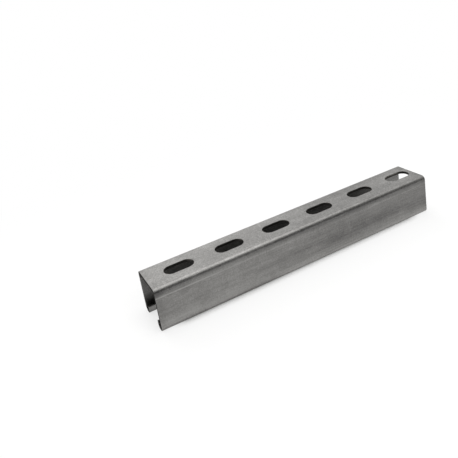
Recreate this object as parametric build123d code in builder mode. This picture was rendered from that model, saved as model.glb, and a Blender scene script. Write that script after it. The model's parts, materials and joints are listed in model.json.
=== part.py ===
"""Slotted framing channel (strut), standing on its lips with its slotted back up.

One piece of steel strip, roll-formed into a square C: a flat back, two flat sides and two lips that
turn in and then up towards the back, so that a spring nut can bite behind them.  The back is punched
with a row of round-ended slots before the strip is formed, and the length is sawn off the line.

Frame: X runs along the length, Y across it, and Z is up.  The origin is at the middle of the length
and of the width, on the plane that the lips stand on.  Lengths are in millimetres.
"""

import os
from math import floor

from build123d import *

# The section that the strip is rolled to
wall = 2.67  # 12 gauge strip
width = 41.275  # over the outside of the sides
depth = 41.275  # from the open face to the outside of the back
lip_width = 9.525  # from the outside of a side to the mouth
lip_depth = 7.144  # from the open face to a lip's tip
back_bend_radius = 1.3  # inside the two bends at the back
lip_bend_radius = 1.3  # inside the two bends of each lip
strip_edge_radius = 0.45  # the strip's own rounded edges, at the tips of the lips

# The cut length
length = 304.8
sawn_edge = 0.25  # bevel all round each cut end, where the burr was taken off

# The slots in the back
slot_length = 28.575
slot_width = 14.288
slot_pitch = 50.8
first_slot = 31.75  # from the near end to the centre of the first slot
least_end_bridge = 2.5  # metal left between the last slot and the far end
punch_rollover = 0.35  # rounding of a slot's rim on the outside, where the punch went in

near_end = -length / 2
slot_count = 1 + floor((length - first_slot - slot_length / 2 - least_end_bridge) / slot_pitch)


# ---- section: the strip's middle line, given the thickness of the wall ---------------------------
# It is drawn in the plane of the near end, so its own two axes are the channel's Y and Z.
side_middle = (width - wall) / 2
lip_middle = width / 2 - lip_width + wall / 2

# A lip's two bends lie back to back, so neither may take more than half of the lip's width.
back_bend = back_bend_radius + wall / 2
lip_bend = min(lip_bend_radius + wall / 2, 0.49 * (lip_width - wall), 0.9 * (lip_depth - wall / 2))

with BuildSketch(Plane.YZ.offset(near_end)) as section:
    with BuildLine():
        FilletPolyline(
            (-lip_middle, lip_depth),
            (-lip_middle, wall / 2),
            (-side_middle, wall / 2),
            (-side_middle, depth - wall / 2),
            (side_middle, depth - wall / 2),
            (side_middle, wall / 2),
            (lip_middle, wall / 2),
            (lip_middle, lip_depth),
            radius=[lip_bend, lip_bend, back_bend, back_bend, lip_bend, lip_bend],
        )
    trace(line_width=wall)
    for lip_tip in ((-lip_middle, lip_depth), (lip_middle, lip_depth)):
        fillet(section.vertices().sort_by_distance(lip_tip)[:2], radius=strip_edge_radius)


# ---- slots: one row along the middle of the back, at one pitch from the near end -----------------
with BuildSketch(Plane.XY.offset(depth)) as slots:
    with Locations(*[(near_end + first_slot + n * slot_pitch, 0) for n in range(slot_count)]):
        SlotOverall(slot_length, slot_width)


# ---- strut channel: the section run to length, punched, then eased at rims and cut ends ----------
with BuildPart() as strut_channel:
    extrude(section.sketch, amount=length)
    extrude(slots.sketch, amount=-2 * wall, mode=Mode.SUBTRACT)

    back = strut_channel.faces().filter_by(Axis.Z).sort_by(Axis.Z)[-1]
    fillet(back.inner_wires().edges(), radius=punch_rollover)

    cut_ends = strut_channel.faces().filter_by(Axis.X)
    chamfer(cut_ends.edges(), length=sawn_edge)

strut_channel.part.label = "strut_channel"

os.makedirs("parts", exist_ok=True)
export_step(strut_channel.part, "parts/strut_channel.step")
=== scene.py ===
"""Looks of the strut channel: the studio first, then the channel with its zinc and its cut steel."""

import json
from math import pi, radians

import bpy
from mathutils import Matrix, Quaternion, Vector


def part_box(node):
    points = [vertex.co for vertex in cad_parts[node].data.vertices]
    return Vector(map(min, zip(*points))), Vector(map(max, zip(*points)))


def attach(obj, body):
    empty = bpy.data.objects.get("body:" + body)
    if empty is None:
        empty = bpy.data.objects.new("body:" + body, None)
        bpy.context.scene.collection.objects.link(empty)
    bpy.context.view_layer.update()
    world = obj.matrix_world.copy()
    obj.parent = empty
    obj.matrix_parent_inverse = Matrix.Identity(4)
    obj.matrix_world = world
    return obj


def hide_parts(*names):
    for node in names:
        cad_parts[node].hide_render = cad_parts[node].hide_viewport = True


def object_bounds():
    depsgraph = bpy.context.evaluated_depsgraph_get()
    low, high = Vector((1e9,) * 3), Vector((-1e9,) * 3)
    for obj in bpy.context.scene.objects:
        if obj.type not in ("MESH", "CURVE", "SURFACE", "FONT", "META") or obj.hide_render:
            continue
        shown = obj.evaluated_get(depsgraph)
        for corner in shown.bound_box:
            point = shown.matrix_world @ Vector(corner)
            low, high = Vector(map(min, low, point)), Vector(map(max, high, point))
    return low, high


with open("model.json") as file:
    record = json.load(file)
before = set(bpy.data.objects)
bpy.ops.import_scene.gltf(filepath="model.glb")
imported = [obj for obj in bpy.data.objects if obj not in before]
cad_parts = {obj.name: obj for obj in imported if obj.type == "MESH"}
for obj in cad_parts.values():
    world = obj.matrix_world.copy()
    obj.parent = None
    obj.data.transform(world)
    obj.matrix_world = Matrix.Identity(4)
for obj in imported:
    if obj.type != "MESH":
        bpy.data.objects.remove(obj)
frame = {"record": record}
cad_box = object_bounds()


# ---- the studio: camera, floor, room, lamps and card ---------------------------------------------
# A camera above the near end looks down on a matt white floor in a white room.  Softboxes overhead and
# low behind light the channel, two fills whiten the floor, and a grey card in front gives the metal
# something to draw its bends with.

camera = bpy.data.objects.new("camera", bpy.data.cameras.new("camera"))
bpy.context.scene.collection.objects.link(camera)
bpy.context.scene.camera = camera
camera.data.lens = 44.094
camera.data.shift_x = 0.0131
camera.data.shift_y = -0.25
camera.location = (-0.24582, -0.42349, 0.30364)
looking = Vector((0.39519, 0.87238, -0.28770))
roll = Quaternion((0, 0, 1), radians(-9.62))
camera.rotation_mode = "QUATERNION"
camera.rotation_quaternion = looking.to_track_quat("-Z", "Y") @ roll

bpy.context.scene.view_settings.view_transform = "Standard"


def linear(hex_colour):
    """An sRGB hex colour as the linear red, green, blue and alpha that Blender's sockets take."""
    parts = [int(hex_colour[i : i + 2], 16) / 255 for i in (1, 3, 5)]
    return [p / 12.92 if p <= 0.04045 else ((p + 0.055) / 1.055) ** 2.4 for p in parts] + [1.0]


def fill(tree, node, links):
    """Fills a node's inputs with plain values, outputs, or nodes, which give their first output."""
    for name, value in links.items():
        if isinstance(value, bpy.types.Node):
            value = value.outputs[0]
        if isinstance(value, bpy.types.NodeSocket):
            tree.links.new(value, node.inputs[name])
        else:
            node.inputs[name].default_value = value


def add(tree, kind, links=None, **settings):
    """Adds one node to a tree, with its settings and with what fills its inputs."""
    made = tree.nodes.new(kind)
    for name, value in settings.items():
        setattr(made, name, value)
    fill(tree, made, links or {})
    return made


def empty_tree(owner):
    """Turns a new material or world over to nodes and gives its tree, emptied."""
    owner.use_nodes = True
    owner.node_tree.nodes.clear()
    return owner.node_tree


def seen_itself(tree):
    """1 where the lens, metal or glass sees the surface, and 0 where it only lights something else."""
    ray = add(tree, "ShaderNodeLightPath").outputs
    by_lens_or_metal = add(
        tree, "ShaderNodeMath", {0: ray["Is Camera Ray"], 1: ray["Is Glossy Ray"]}, operation="MAXIMUM"
    )
    return add(
        tree, "ShaderNodeMath", {0: by_lens_or_metal, 1: ray["Is Transmission Ray"]}, operation="MAXIMUM"
    )


# Matt white seamless paper.  What the lens and the metal see of it is lifted towards pure white, least
# beside the channel's feet, so that the shadow there stays.  The last 0.28 of the lift comes in slowly,
# from 30 to 350 mm off.
paper = bpy.data.materials.new("white_seamless_paper")
tree = empty_tree(paper)
on_floor = add(tree, "ShaderNodeTexCoord").outputs["Object"]
off_centre = add(tree, "ShaderNodeVectorMath", {0: on_floor}, operation="ABSOLUTE")
half_foot = (cad_box[1] - cad_box[0]) / 2
half_foot.z = 0.0
nothing = (0.0, 0.0, 0.0)
beyond_foot = add(tree, "ShaderNodeVectorMath", {0: off_centre, 1: half_foot}, operation="SUBTRACT")
outside = add(tree, "ShaderNodeVectorMath", {0: beyond_foot, 1: nothing}, operation="MAXIMUM")
distance = add(tree, "ShaderNodeVectorMath", {0: outside}, operation="LENGTH").outputs["Value"]
far_off = add(
    tree,
    "ShaderNodeMapRange",
    {"Value": distance, "From Min": 0.03, "From Max": 0.35, "To Min": 0.0, "To Max": 0.28},
    interpolation_type="SMOOTHSTEP",
)

# The rest of it comes in over the first 6 mm beside the channel.  Under the open ends the lift also
# reaches 28 mm inside, a painted light for what enters there, and lengthwise it rises more slowly.
painted_light_reach = (0.028, 0.0, 0.0)
rise = (0.3, 1.0, 1.0)
painted_lit_inside = add(tree, "ShaderNodeVectorMath", {0: beyond_foot, 1: painted_light_reach}, operation="ADD")
past_painted_light = add(tree, "ShaderNodeVectorMath", {0: painted_lit_inside, 1: nothing}, operation="MAXIMUM")
slower = add(tree, "ShaderNodeVectorMath", {0: past_painted_light, 1: rise}, operation="MULTIPLY")
near_by = add(tree, "ShaderNodeVectorMath", {0: slower}, operation="LENGTH").outputs["Value"]
past_contact = add(
    tree,
    "ShaderNodeMapRange",
    {"Value": near_by, "From Min": 0.0, "From Max": 0.006, "To Min": 0.12, "To Max": 0.72},
    interpolation_type="SMOOTHSTEP",
)
whiter_away = add(tree, "ShaderNodeMath", {0: past_contact, 1: far_off}, operation="ADD")
lift = add(tree, "ShaderNodeMath", {0: seen_itself(tree), 1: whiter_away}, operation="MULTIPLY")
matt = add(tree, "ShaderNodeBsdfDiffuse", {"Color": linear("#F4F4F3")})
glow = add(tree, "ShaderNodeEmission", {"Color": linear("#FFFFFF"), "Strength": 1.0})
lifted = add(tree, "ShaderNodeMixShader", {0: lift, 1: matt, 2: glow})
add(tree, "ShaderNodeOutputMaterial", {"Surface": lifted})


def flat_sheet(name, corners, material):
    """One flat sheet of the studio, by its four corners."""
    mesh = bpy.data.meshes.new(name)
    mesh.from_pydata(corners, [], [(0, 1, 2, 3)])
    mesh.materials.append(material)
    sheet = bpy.data.objects.new(name, mesh)
    bpy.context.scene.collection.objects.link(sheet)
    return sheet


reach = 30.0  # out of sight on every side
floor_corners = [(-reach, -reach, 0.0), (reach, -reach, 0.0), (reach, reach, 0.0), (-reach, reach, 0.0)]
floor = flat_sheet("floor", floor_corners, paper)

# The room is white to the lens and in the metal, and dimmer as a light, since the softboxes do most.
room = bpy.data.worlds.new("white_room")
bpy.context.scene.world = room
tree = empty_tree(room)
strength = add(tree, "ShaderNodeMapRange", {"Value": seen_itself(tree), "To Min": 0.35, "To Max": 1.0})
walls = add(tree, "ShaderNodeBackground", {"Color": linear("#FFFFFF"), "Strength": strength})
add(tree, "ShaderNodeOutputWorld", {"Surface": walls})

# Each lamp by where it hangs, what it is turned to, its two sides in metres, how bright its face is
# and whether the metal mirrors it.  A face that bright gives off pi times as many watts for each
# square metre.
for name, hangs_at, aim, sides, brightness, in_metal in (
    ("softbox_overhead", (0.10, 0.10, 1.30), (0.0, 0.0, 0.0), (1.3, 1.1), 2.15, True),
    ("softbox_behind", (0.00, 1.30, 0.75), (0.0, 0.0, 0.02), (1.0, 0.6), 0.90, True),
    ("floor_fill_in_front", (0.20, -1.10, 0.90), (0.0, -0.1, 0.0), (1.2, 0.8), 3.4, False),
    ("floor_fill_behind", (-0.20, 1.10, 0.90), (0.0, 0.1, 0.0), (1.2, 0.8), 2.0, False),
):
    lamp = bpy.data.lights.new(name, "AREA")
    lamp.shape = "RECTANGLE"
    lamp.size, lamp.size_y = sides
    lamp.energy = brightness * pi * sides[0] * sides[1]
    hung = bpy.data.objects.new(name, lamp)
    hung.location = hangs_at
    hung.rotation_mode = "QUATERNION"
    hung.rotation_quaternion = (Vector(aim) - Vector(hangs_at)).to_track_quat("-Z", "Y")
    hung.visible_glossy = in_metal
    bpy.context.scene.collection.objects.link(hung)

# The card stands well in front, and only the metal sees it.
card_paint = bpy.data.materials.new("grey_card")
tree = empty_tree(card_paint)
even_grey = add(tree, "ShaderNodeEmission", {"Color": linear("#888888"), "Strength": 1.0})
add(tree, "ShaderNodeOutputMaterial", {"Surface": even_grey})
left, right, front, top = -0.6, 0.7, -0.22, 0.34
card_corners = [(left, front, 0.0), (right, front, 0.0), (right, front, top), (left, front, top)]
card = flat_sheet("grey_card", card_corners, card_paint)
card.visible_camera = card.visible_diffuse = card.visible_shadow = card.visible_transmission = False


# ---- strut channel: one strip of galvanised steel, punched, rolled and sawn ----------------------
# The strip is 12 gauge and dipped in zinc before it is worked, so only the slots' walls and the sawn
# ends show bare steel.  Rolls turn it into a square C with lips, on which it stands, slotted back up.

low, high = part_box("strut_channel")
length, width, depth = high - low
wall = 0.00267  # 12 gauge strip
lip_width = 0.009525  # from the outside of a side to the mouth
lip_depth = 0.007144  # from the open face to a lip's tip
bend_radius = 0.0013 + wall / 2  # of the strip's middle line
strip_edge = 0.00045  # the strip's own rounded edges, at the tips of the lips
sawn_edge = 0.00025  # where the burr was taken off
punch_rollover = 0.00035  # rounding of a slot's rim, where the punch went in

slots = [mount for mount in frame["record"]["mounts"] if mount["kind"] == "bolt_pattern"]
slot_count = sum(mount["dims"]["count"] for mount in slots)
slot_pitch = slots[0]["dims"]["spacing_x_mm"] / 1000
slot_length = slots[0]["dims"]["slot_length_mm"] / 1000
slot_width = slots[0]["dims"]["hole_r_mm"] * 2 / 1000
first_slot = slots[0]["pos_m"][0] - slot_pitch / 2


def in_millimetres(tree, turned=0.0):
    """Places on the channel in mm, turned about its length where a pattern lies askew."""
    metres = add(tree, "ShaderNodeTexCoord").outputs["Object"]
    return add(
        tree,
        "ShaderNodeMapping",
        {"Vector": metres, "Rotation": (turned, 0, 0), "Scale": (1000, 1000, 1000)},
    )


# Mill-galvanised steel: strip hot-dipped in zinc at the mill and then rolled.  The zinc is a dull, cool
# grey with faint frost-like crystals and a fine grain.  The forming rolls draw soft streaks along the
# length.  A darker band beside the back's bends is partly rubbed by them and partly painted shade, and a
# paler one above the lips' is a painted highlight.
galvanised = bpy.data.materials.new("mill_galvanised_steel")
tree = empty_tree(galvanised)
mm = in_millimetres(tree)
spot = add(tree, "ShaderNodeSeparateXYZ", {"Vector": mm}).outputs

# How flat a face lies, from 0 on the sides to 1 on the back, and where it counts as upright.
normal = add(tree, "ShaderNodeNewGeometry").outputs["True Normal"]
facing = add(tree, "ShaderNodeSeparateXYZ", {"Vector": normal}).outputs
flatness = add(tree, "ShaderNodeMath", {0: facing["Z"]}, operation="ABSOLUTE")
upright = add(
    tree,
    "ShaderNodeMapRange",
    {"Value": flatness, "From Min": 0.35, "From Max": 0.75, "To Min": 1.0, "To Max": 0.0},
    interpolation_type="SMOOTHSTEP",
)

# Zinc crystals some 10 mm across.  A 4 mm noise pushes their borders about by up to 5 mm.
bending = add(tree, "ShaderNodeTexNoise", {"Vector": mm, "Scale": 1 / 4, "Detail": 2.0}).outputs["Color"]
bent = add(tree, "ShaderNodeVectorMath", {0: bending, 1: (5.0, 5.0, 5.0), 2: mm}, operation="MULTIPLY_ADD")
crystal = add(tree, "ShaderNodeTexVoronoi", {"Vector": bent, "Scale": 1 / 10}).outputs["Color"]
of_crystal = add(tree, "ShaderNodeSeparateColor", {"Color": crystal}).outputs

# Frost feathers inside each crystal, every one turned its own way about an axis askew to all the faces.
# They are 8 mm long and 1.6 mm apart, coarser than real ones, so that they show.
turn = add(tree, "ShaderNodeMath", {0: of_crystal["Red"], 1: 2 * pi}, operation="MULTIPLY")
turned = add(
    tree,
    "ShaderNodeVectorRotate",
    {"Vector": mm, "Angle": turn, "Axis": (0.6, 0.6, 0.53)},
    rotation_type="AXIS_ANGLE",
)
combed = add(tree, "ShaderNodeMapping", {"Vector": turned, "Scale": (1 / 8, 1 / 1.6, 1 / 1.6)})
feather = add(
    tree,
    "ShaderNodeTexNoise",
    {"Vector": combed, "Scale": 1.0, "Detail": 3.0, "Roughness": 0.6, "Distortion": 0.8},
)

# Grain of the zinc, drawn 1.3 mm across so that it shows, and mottles 8 mm high and twice as long.
grain = add(tree, "ShaderNodeTexNoise", {"Vector": mm, "Scale": 1 / 1.3, "Detail": 3.0, "Roughness": 0.65})
spread = add(tree, "ShaderNodeMapping", {"Vector": mm, "Scale": (1 / 16, 1 / 8, 1 / 8)})
mottle = add(
    tree,
    "ShaderNodeTexNoise",
    {"Vector": spread, "Scale": 1.0, "Detail": 2.0, "Roughness": 0.5, "Distortion": 0.6},
)

# Clouds of dulled zinc, some 140 mm long and 28 mm high.  Their place on the noise, and the streaks',
# puts the lighter and darker stretches where this piece has them.
cloud_way = add(
    tree,
    "ShaderNodeMapping",
    {"Vector": mm, "Location": (7.3, 29.2, 24.1), "Scale": (1 / 142, 1 / 28.5, 1 / 28.5)},
)
cloud = add(
    tree, "ShaderNodeTexNoise", {"Vector": cloud_way, "Scale": 1.0, "Detail": 2.0, "Roughness": 0.5}
)

# Streaks from the forming rolls, 5 mm apart and some 80 mm long, and finer scratches between them,
# 1.5 mm apart and some 30 mm long.  Both are plainest on the two sides.
streak_way = add(
    tree,
    "ShaderNodeMapping",
    {"Vector": mm, "Location": (22.3, 28.1, 12.6), "Scale": (1 / 83, 1 / 5, 1 / 5)},
)
streak = add(
    tree, "ShaderNodeTexNoise", {"Vector": streak_way, "Scale": 1.0, "Detail": 3.0, "Roughness": 0.5}
)
scratch_way = add(tree, "ShaderNodeMapping", {"Vector": mm, "Scale": (1 / 33, 1 / 1.5, 1 / 1.5)})
scratch = add(
    tree, "ShaderNodeTexNoise", {"Vector": scratch_way, "Scale": 1.0, "Detail": 2.0, "Roughness": 0.5}
)

# The crystals' own greys and all the patterns are added up round a middle of nought, each pattern by
# its share on an upright face and its share on a flat one.
total = add(tree, "ShaderNodeMath", {0: of_crystal["Green"], 1: 0.10, 2: -0.05}, operation="MULTIPLY_ADD")
for pattern, share_upright, share_flat in (
    (feather, 0.50, 0.66),
    (grain, 0.85, 1.25),
    (mottle, 0.26, 0.26),
    (cloud, 1.00, 0.62),
    (streak, 0.38, 0.12),
    (scratch, 0.45, 0.16),
):
    evened = add(tree, "ShaderNodeMath", {0: pattern, 1: 0.5}, operation="SUBTRACT")
    share = add(
        tree, "ShaderNodeMapRange", {"Value": flatness, "To Min": share_upright, "To Max": share_flat}
    )
    total = add(tree, "ShaderNodeMath", {0: evened, 1: share, 2: total}, operation="MULTIPLY_ADD")

# Bands on the sides: some rubbed in by the rolls, and some painted shade and painted highlight.  Each band
# has the heights in mm at which it comes, is full, fades and is gone, and its share.  Where that changes
# along the length, it also has two places in mm, and how much of the share there is up to the first place
# and from the second.
over_the_top = (60.0, 61.0)
under_the_foot = (-2.0, -1.0)
for (comes, full, fades, gone), share, along in (
    # the dark band below the back's bend: partly rubbed by the rolls, partly painted shade for the dark the
    # side mirrors there
    ((33.5, 37.0, *over_the_top), -0.24, None),
    # the fine bright line at the foot of that band, plainest near the sawn end
    ((32.1, 33.1, 33.1, 34.1), 0.50, (-115.0, -60.0, 1.0, 0.25)),
    # the paler band above the lip's bend: a painted highlight, for the bright floor the bend mirrors
    ((3.2, 5.0, 6.0, 16.0), 0.27, None),
    # the dark foot beside the near end, a painted shade for the contact shadow it mirrors, and the pale one
    # farther on, a painted highlight for the bright floor
    ((*under_the_foot, 1.8, 3.6), -0.22, (-50.0, -20.0, 1.0, 0.0)),
    ((1.0, 2.5, 3.4, 5.6), 0.42, (-50.0, -15.0, 0.0, 1.0)),
    # darker just under the back's bend at the near end
    ((32.0, 37.5, *over_the_top), -0.30, (-150.0, -141.0, 1.0, 0.0)),
):
    rising = add(
        tree,
        "ShaderNodeMapRange",
        {"Value": spot["Z"], "From Min": comes, "From Max": full},
        interpolation_type="SMOOTHSTEP",
    )
    falling = add(
        tree,
        "ShaderNodeMapRange",
        {"Value": spot["Z"], "From Min": fades, "From Max": gone, "To Min": share, "To Max": 0.0},
        interpolation_type="SMOOTHSTEP",
    )
    band = add(tree, "ShaderNodeMath", {0: rising, 1: falling}, operation="MULTIPLY")
    if along:
        first, second, before, after = along
        kept_there = add(
            tree,
            "ShaderNodeMapRange",
            {"Value": spot["X"], "From Min": first, "From Max": second, "To Min": before, "To Max": after},
            interpolation_type="SMOOTHSTEP",
        )
        band = add(tree, "ShaderNodeMath", {0: band, 1: kept_there}, operation="MULTIPLY")
    total = add(tree, "ShaderNodeMath", {0: band, 1: upright, 2: total}, operation="MULTIPLY_ADD")

# The last 10 mm at each end are darker.
from_middle = add(tree, "ShaderNodeMath", {0: spot["X"]}, operation="ABSOLUTE")
darker_ends = add(
    tree,
    "ShaderNodeMapRange",
    {"Value": from_middle, "From Min": 142.0, "From Max": 152.0, "To Min": 0.0, "To Max": -0.10},
    interpolation_type="SMOOTHSTEP",
)
total = add(tree, "ShaderNodeMath", {0: total, 1: darker_ends}, operation="ADD")

level = add(tree, "ShaderNodeMapRange", {"Value": total, "From Min": -0.5, "From Max": 0.5})
zinc = add(tree, "ShaderNodeValToRGB", {"Fac": level})
stops = zinc.color_ramp.elements
stops[0].color = linear("#605F5E")
stops[1].color = linear("#A8A7A5")
stops.new(0.5).color = linear("#868583")

# Painted shade: the bottom of the trough behind each lip is darkened, where little light gets in.
trough_starts, trough_ends = 12.6, 18.6  # mm from the middle plane
from_plane = add(tree, "ShaderNodeMath", {0: spot["Y"]}, operation="ABSOLUTE")
indoors = add(tree, "ShaderNodeMath", {0: from_plane, 1: trough_ends}, operation="LESS_THAN")
behind_lip = add(tree, "ShaderNodeMath", {0: from_plane, 1: trough_starts}, operation="GREATER_THAN")
low_down = add(
    tree,
    "ShaderNodeMapRange",
    {"Value": spot["Z"], "From Min": 9.0, "From Max": 23.0, "To Min": 0.75, "To Max": 0.0},
    interpolation_type="SMOOTHSTEP",
)
in_trough = add(tree, "ShaderNodeMath", {0: indoors, 1: behind_lip}, operation="MULTIPLY")
painted_trough_shade = add(tree, "ShaderNodeMath", {0: in_trough, 1: low_down}, operation="MULTIPLY")
# the near-black mixed in there is painted shade
finish = add(tree, "ShaderNodeMix", {"Factor": painted_trough_shade, "A": zinc, "B": linear("#2A2927")}, data_type="RGBA")

# The paler the zinc, the rougher it is.  Its grain and streaks stand a little proud.
roughness = add(tree, "ShaderNodeMapRange", {"Value": level, "To Min": 0.42, "To Max": 0.56})
relief = add(tree, "ShaderNodeMath", {0: streak, 1: 0.6, 2: grain}, operation="MULTIPLY_ADD")
bump = add(tree, "ShaderNodeBump", {"Height": relief, "Strength": 0.25, "Distance": 0.0002})
surface = add(
    tree,
    "ShaderNodeBsdfPrincipled",
    {"Base Color": finish.outputs["Result"], "Metallic": 1.0, "Roughness": roughness, "Normal": bump},
)
add(tree, "ShaderNodeOutputMaterial", {"Surface": surface})

# Sawn steel: the bare section at each end, cut by a cold saw.  Its greys are painted shade, far darker
# than bare steel, and its specular tint dulls what it mirrors at a slant.  Its teeth leave fine parallel
# marks, 28 degrees askew, and drawn 20 mm long and 0.7 mm apart, coarse enough to show.
sawn = bpy.data.materials.new("sawn_steel")
tree = empty_tree(sawn)
askew = in_millimetres(tree, turned=radians(28))
tooth_way = add(tree, "ShaderNodeMapping", {"Vector": askew, "Scale": (1.0, 1 / 20, 1 / 0.7)})
tooth = add(
    tree, "ShaderNodeTexNoise", {"Vector": tooth_way, "Scale": 1.0, "Detail": 3.0, "Roughness": 0.6}
)
# Both greys, darker than bare steel, are painted shade.
sawn_painted_shade_grey = add(
    tree,
    "ShaderNodeMix",
    {"Factor": tooth, "A": linear("#373533"), "B": linear("#555250")},
    data_type="RGBA",
)
sawn_roughness = add(tree, "ShaderNodeMapRange", {"Value": tooth, "To Min": 0.38, "To Max": 0.55})
tooth_marks = add(tree, "ShaderNodeBump", {"Height": tooth, "Strength": 0.4, "Distance": 0.0001})
surface = add(
    tree,
    "ShaderNodeBsdfPrincipled",
    {
        "Base Color": sawn_painted_shade_grey.outputs["Result"],
        "Metallic": 1.0,
        "Roughness": sawn_roughness,
        "Specular Tint": linear("#7C7C7C"),
        "Normal": tooth_marks,
    },
)
add(tree, "ShaderNodeOutputMaterial", {"Surface": surface})

# Sheared steel: the slots' walls, bare where the punch went through.  They are smooth for the first
# millimetre or so, and below a ragged line they are torn, darker and rougher.
sheared = bpy.data.materials.new("sheared_steel")
tree = empty_tree(sheared)
mm = in_millimetres(tree)
height = add(tree, "ShaderNodeSeparateXYZ", {"Vector": mm}).outputs["Z"]
torn = add(tree, "ShaderNodeTexNoise", {"Vector": mm, "Scale": 1 / 0.6, "Detail": 3.0, "Roughness": 0.7})
ragged = add(tree, "ShaderNodeMath", {0: torn, 1: 0.9, 2: height}, operation="MULTIPLY_ADD")
back_height = depth * 1000
smooth_part = add(
    tree,
    "ShaderNodeMapRange",
    {"Value": ragged, "From Min": back_height - 0.975, "From Max": back_height - 0.475},
    interpolation_type="SMOOTHSTEP",
)
sheared_grey = add(
    tree,
    "ShaderNodeMix",
    {"Factor": smooth_part, "A": linear("#4F4D4A"), "B": linear("#6E6B67")},
    data_type="RGBA",
)
sheared_roughness = add(tree, "ShaderNodeMapRange", {"Value": smooth_part, "To Min": 0.70, "To Max": 0.40})
tearing = add(tree, "ShaderNodeBump", {"Height": torn, "Strength": 0.5, "Distance": 0.0002})
surface = add(
    tree,
    "ShaderNodeBsdfPrincipled",
    {
        "Base Color": sheared_grey.outputs["Result"],
        "Metallic": 1.0,
        "Roughness": sheared_roughness,
        "Normal": tearing,
    },
)
add(tree, "ShaderNodeOutputMaterial", {"Surface": surface})


# The channel's shape, from the sizes that it is ordered by: the strip follows the section's middle line,
# is punched, and then has its edges eased.
rolling = bpy.data.node_groups.new("punched_and_rolled_channel", "GeometryNodeTree")
rolling.is_modifier = True
rolling.interface.new_socket("Geometry", in_out="INPUT", socket_type="NodeSocketGeometry")
rolling.interface.new_socket("Geometry", in_out="OUTPUT", socket_type="NodeSocketGeometry")
sizes = {
    "Length": ("NodeSocketFloat", length),
    "Width": ("NodeSocketFloat", width),
    "Depth": ("NodeSocketFloat", depth),
    "Wall": ("NodeSocketFloat", wall),
    "Lip Width": ("NodeSocketFloat", lip_width),
    "Lip Depth": ("NodeSocketFloat", lip_depth),
    "Bend Radius": ("NodeSocketFloat", bend_radius),
    "Bend Steps": ("NodeSocketInt", 14),
    "Sawn Edge": ("NodeSocketFloat", sawn_edge),
    "Sawn Edge Steps": ("NodeSocketInt", 3),
    "Slot Count": ("NodeSocketInt", slot_count),
    "Slot Pitch": ("NodeSocketFloat", slot_pitch),
    "First Slot": ("NodeSocketFloat", first_slot),
    "Slot Length": ("NodeSocketFloat", slot_length),
    "Slot Width": ("NodeSocketFloat", slot_width),
    "Slot End Steps": ("NodeSocketInt", 16),
    "Rim Share": ("NodeSocketFloat", punch_rollover / strip_edge),
    "Zinc": ("NodeSocketMaterial", galvanised),
    "Sawn End": ("NodeSocketMaterial", sawn),
    "Slot Wall": ("NodeSocketMaterial", sheared),
}
for name, (kind, _) in sizes.items():
    rolling.interface.new_socket(name, in_out="INPUT", socket_type=kind)

given = add(rolling, "NodeGroupInput").outputs

# The strip's middle line is drawn flat, eight corners from lip to lip, and its bends are rounded.
half_wall = add(rolling, "ShaderNodeMath", {0: given["Wall"], 1: 0.5}, operation="MULTIPLY")
half_width = add(rolling, "ShaderNodeMath", {0: given["Width"], 1: 0.5}, operation="MULTIPLY")
side = add(rolling, "ShaderNodeMath", {0: half_width, 1: half_wall}, operation="SUBTRACT")
mouth = add(rolling, "ShaderNodeMath", {0: half_width, 1: given["Lip Width"]}, operation="SUBTRACT")
lip = add(rolling, "ShaderNodeMath", {0: mouth, 1: half_wall}, operation="ADD")
back = add(rolling, "ShaderNodeMath", {0: given["Depth"], 1: half_wall}, operation="SUBTRACT")
tip = given["Lip Depth"]
other_side = add(rolling, "ShaderNodeMath", {0: side, 1: -1.0}, operation="MULTIPLY")
other_lip = add(rolling, "ShaderNodeMath", {0: lip, 1: -1.0}, operation="MULTIPLY")

corners_across = (other_lip, other_lip, other_side, other_side, side, side, lip, lip)
corners_up = (tip, half_wall, half_wall, back, back, half_wall, half_wall, tip)

corner = add(rolling, "GeometryNodeInputIndex")
across = add(rolling, "GeometryNodeIndexSwitch", data_type="FLOAT")
up = add(rolling, "GeometryNodeIndexSwitch", data_type="FLOAT")
for switch, places in ((across, corners_across), (up, corners_up)):
    while len(switch.index_switch_items) < len(places):
        switch.index_switch_items.new()
    fill(rolling, switch, {"Index": corner, **dict(enumerate(places, start=1))})
corners = add(rolling, "GeometryNodeMeshLine", {"Count": len(corners_across)})
where = add(rolling, "ShaderNodeCombineXYZ", {"X": across, "Y": up})
placed = add(rolling, "GeometryNodeSetPosition", {"Geometry": corners, "Position": where})
line = add(rolling, "GeometryNodeMeshToCurve", {"Mesh": placed})
middle_line = add(
    rolling,
    "GeometryNodeFilletCurve",
    {"Curve": line, "Radius": given["Bend Radius"], "Count": given["Bend Steps"], "Limit Radius": True},
    mode="POLY",
)

# The strip's own cross-section, its thickness by the cut length with eased corners, follows that line.
strip = add(
    rolling,
    "GeometryNodeCurvePrimitiveQuadrilateral",
    {"Width": given["Wall"], "Height": given["Length"]},
)
eased = add(
    rolling,
    "GeometryNodeFilletCurve",
    {"Curve": strip, "Radius": given["Sawn Edge"], "Count": given["Sawn Edge Steps"], "Limit Radius": True},
    mode="POLY",
)
rolled = add(
    rolling, "GeometryNodeCurveToMesh", {"Curve": middle_line, "Profile Curve": eased, "Fill Caps": True}
)
stood = add(rolling, "GeometryNodeTransform", {"Geometry": rolled, "Rotation": (pi / 2, 0, pi / 2)})
zinced = add(rolling, "GeometryNodeSetMaterial", {"Geometry": stood, "Material": given["Zinc"]})

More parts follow.
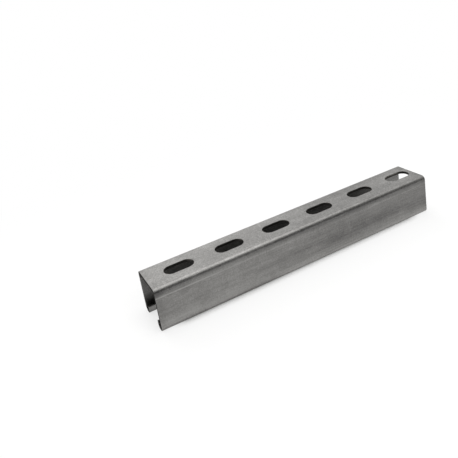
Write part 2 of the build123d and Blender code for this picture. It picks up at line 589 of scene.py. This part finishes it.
# One round-ended punch is set at every slot, from a wall under the back to a wall over it, and cut away.
# Its ends are a hair under full rounds, so that the points where they meet stay apart.
slot = add(
    rolling,
    "GeometryNodeCurvePrimitiveQuadrilateral",
    {"Width": given["Slot Length"], "Height": given["Slot Width"]},
)
slot_end = add(rolling, "ShaderNodeMath", {0: given["Slot Width"], 1: 0.4999}, operation="MULTIPLY")
slot_shape = add(
    rolling,
    "GeometryNodeFilletCurve",
    {"Curve": slot, "Radius": slot_end, "Count": given["Slot End Steps"], "Limit Radius": True},
    mode="POLY",
)
under = add(
    rolling, "ShaderNodeMath", {0: given["Wall"], 1: -2.0, 2: given["Depth"]}, operation="MULTIPLY_ADD"
)
over = add(rolling, "ShaderNodeMath", {0: given["Depth"], 1: given["Wall"]}, operation="ADD")
punch_foot = add(rolling, "ShaderNodeCombineXYZ", {"Z": under})
punch_head = add(rolling, "ShaderNodeCombineXYZ", {"Z": over})
stroke = add(rolling, "GeometryNodeCurvePrimitiveLine", {"Start": punch_foot, "End": punch_head})
punch = add(
    rolling, "GeometryNodeCurveToMesh", {"Curve": stroke, "Profile Curve": slot_shape, "Fill Caps": True}
)
bare_punch = add(rolling, "GeometryNodeSetMaterial", {"Geometry": punch, "Material": given["Slot Wall"]})
row_start = add(rolling, "ShaderNodeCombineXYZ", {"X": given["First Slot"]})
row_step = add(rolling, "ShaderNodeCombineXYZ", {"X": given["Slot Pitch"]})
row = add(
    rolling,
    "GeometryNodeMeshLine",
    {"Count": given["Slot Count"], "Start Location": row_start, "Offset": row_step},
)
punches = add(rolling, "GeometryNodeInstanceOnPoints", {"Points": row, "Instance": bare_punch})
real_punches = add(rolling, "GeometryNodeRealizeInstances", {"Geometry": punches})
punched = add(
    rolling,
    "GeometryNodeMeshBoolean",
    {"Mesh 1": zinced, "Mesh 2": real_punches},
    operation="DIFFERENCE",
    solver="EXACT",
)

# Edges to be rounded: the two lip tips in full, and the slots' upper rims by the punch's smaller share.
same_height = 1e-6
corner_fold = radians(50)
point = add(rolling, "GeometryNodeInputPosition")
place = add(rolling, "ShaderNodeSeparateXYZ", {"Vector": point}).outputs
fold = add(rolling, "GeometryNodeInputMeshEdgeAngle").outputs["Unsigned Angle"]
at_tip = add(
    rolling, "ShaderNodeMath", {0: place["Z"], 1: given["Lip Depth"], 2: same_height}, operation="COMPARE"
)
at_back = add(
    rolling, "ShaderNodeMath", {0: place["Z"], 1: given["Depth"], 2: same_height}, operation="COMPARE"
)
is_corner = add(rolling, "ShaderNodeMath", {0: fold, 1: corner_fold}, operation="GREATER_THAN")
rim = add(rolling, "ShaderNodeMath", {0: at_back, 1: is_corner}, operation="MULTIPLY")
rim_weight = add(rolling, "ShaderNodeMath", {0: rim, 1: given["Rim Share"]}, operation="MULTIPLY")
tip_weight = add(rolling, "ShaderNodeMath", {0: at_tip, 1: is_corner}, operation="MULTIPLY")
weight = add(rolling, "ShaderNodeMath", {0: tip_weight, 1: rim_weight}, operation="MAXIMUM")
weighted = add(
    rolling,
    "GeometryNodeStoreNamedAttribute",
    {"Geometry": punched, "Name": "bevel_weight_edge", "Value": weight},
    data_type="FLOAT",
    domain="EDGE",
)

# Bends and round slot ends shade smoothly, and true corners stay sharp.
soft_fold = radians(35)
soft = add(rolling, "ShaderNodeMath", {0: fold, 1: soft_fold}, operation="LESS_THAN")
smooth_faces = add(
    rolling, "GeometryNodeSetShadeSmooth", {"Geometry": weighted, "Shade Smooth": True}, domain="FACE"
)
shaded = add(
    rolling, "GeometryNodeSetShadeSmooth", {"Geometry": smooth_faces, "Shade Smooth": soft}, domain="EDGE"
)

# The two sawn ends are bare steel: what lies within a hundredth of a millimetre of the cut.
inside_cut = -1e-5
off_middle = add(rolling, "ShaderNodeMath", {0: place["X"]}, operation="ABSOLUTE")
half_length = add(
    rolling, "ShaderNodeMath", {0: given["Length"], 1: 0.5, 2: inside_cut}, operation="MULTIPLY_ADD"
)
is_end = add(rolling, "ShaderNodeMath", {0: off_middle, 1: half_length}, operation="GREATER_THAN")
whole = add(rolling, "GeometryNodeRealizeInstances", {"Geometry": shaded})
ends_on = add(
    rolling,
    "GeometryNodeSetMaterial",
    {"Geometry": whole, "Selection": is_end, "Material": given["Sawn End"]},
)
add(rolling, "NodeGroupOutput", {"Geometry": ends_on})

# The tree runs on a blank, its edges are eased and their shading evened, and what comes out is kept as
# a plain mesh.
blank = bpy.data.objects.new("channel_blank", bpy.data.meshes.new("channel_blank"))
bpy.context.scene.collection.objects.link(blank)
forming = blank.modifiers.new("formed", "NODES")
forming.node_group = rolling
for socket in rolling.interface.items_tree:
    if socket.in_out == "INPUT" and socket.name in sizes:
        forming[socket.identifier] = sizes[socket.name][1]
easing = blank.modifiers.new("eased", "BEVEL")
easing.limit_method = "WEIGHT"
easing.width = strip_edge
easing.segments = 3
evening = blank.modifiers.new("evened", "WEIGHTED_NORMAL")
evening.keep_sharp = True
evening.weight = 100

bpy.context.view_layer.update()
depsgraph = bpy.context.evaluated_depsgraph_get()
channel_mesh = bpy.data.meshes.new_from_object(
    blank.evaluated_get(depsgraph), preserve_all_data_layers=True, depsgraph=depsgraph
)
channel = bpy.data.objects.new("channel", channel_mesh)
bpy.context.scene.collection.objects.link(channel)
bpy.data.objects.remove(blank)
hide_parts("strut_channel")
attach(channel, "root")
